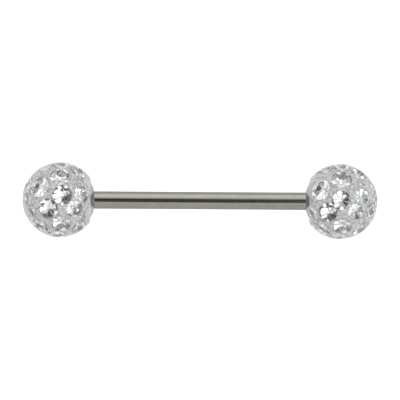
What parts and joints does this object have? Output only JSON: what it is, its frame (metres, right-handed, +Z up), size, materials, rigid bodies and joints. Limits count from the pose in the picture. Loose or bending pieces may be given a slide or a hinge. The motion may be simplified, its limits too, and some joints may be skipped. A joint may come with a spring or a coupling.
{
  "type": "tongue barbell",
  "caption": "Straight steel barbell for a tongue piercing, with a stone-paved ball under clear resin screwed on each end.",
  "frame": {"origin": "on the surface that the barbell lies on, under the middle of the bar", "axes": "+X along the bar towards the right ball, +Y across it, +Z up from the surface"},
  "size_m": [0.032, 0.0068, 0.0067],
  "materials": {
    "steel": "polished surgical steel with faint lines round it",
    "hub_steel": "satin steel",
    "resin": "light grey resin",
    "crystal": "clear cut stones with silvered backs",
    "clear_coat": "clear glossy resin"
  },
  "bodies": {
    "bar": {"bar": "steel"},
    "left_ball": {"left_hub": "hub_steel", "left_core": "resin", "left_stones": "crystal", "left_coat": "clear_coat"},
    "right_ball": {"right_hub": "hub_steel", "right_core": "resin", "right_stones": "crystal", "right_coat": "clear_coat"}
  },
  "joints": [
    {"name": "left_unscrew", "type": "slide", "parent": "bar", "child": "left_ball", "axis": [-1, 0, 0], "range_m": [0, 0.003]},
    {"name": "right_unscrew", "type": "slide", "parent": "bar", "child": "right_ball", "axis": [1, 0, 0], "range_m": [0, 0.003]}
  ]
}
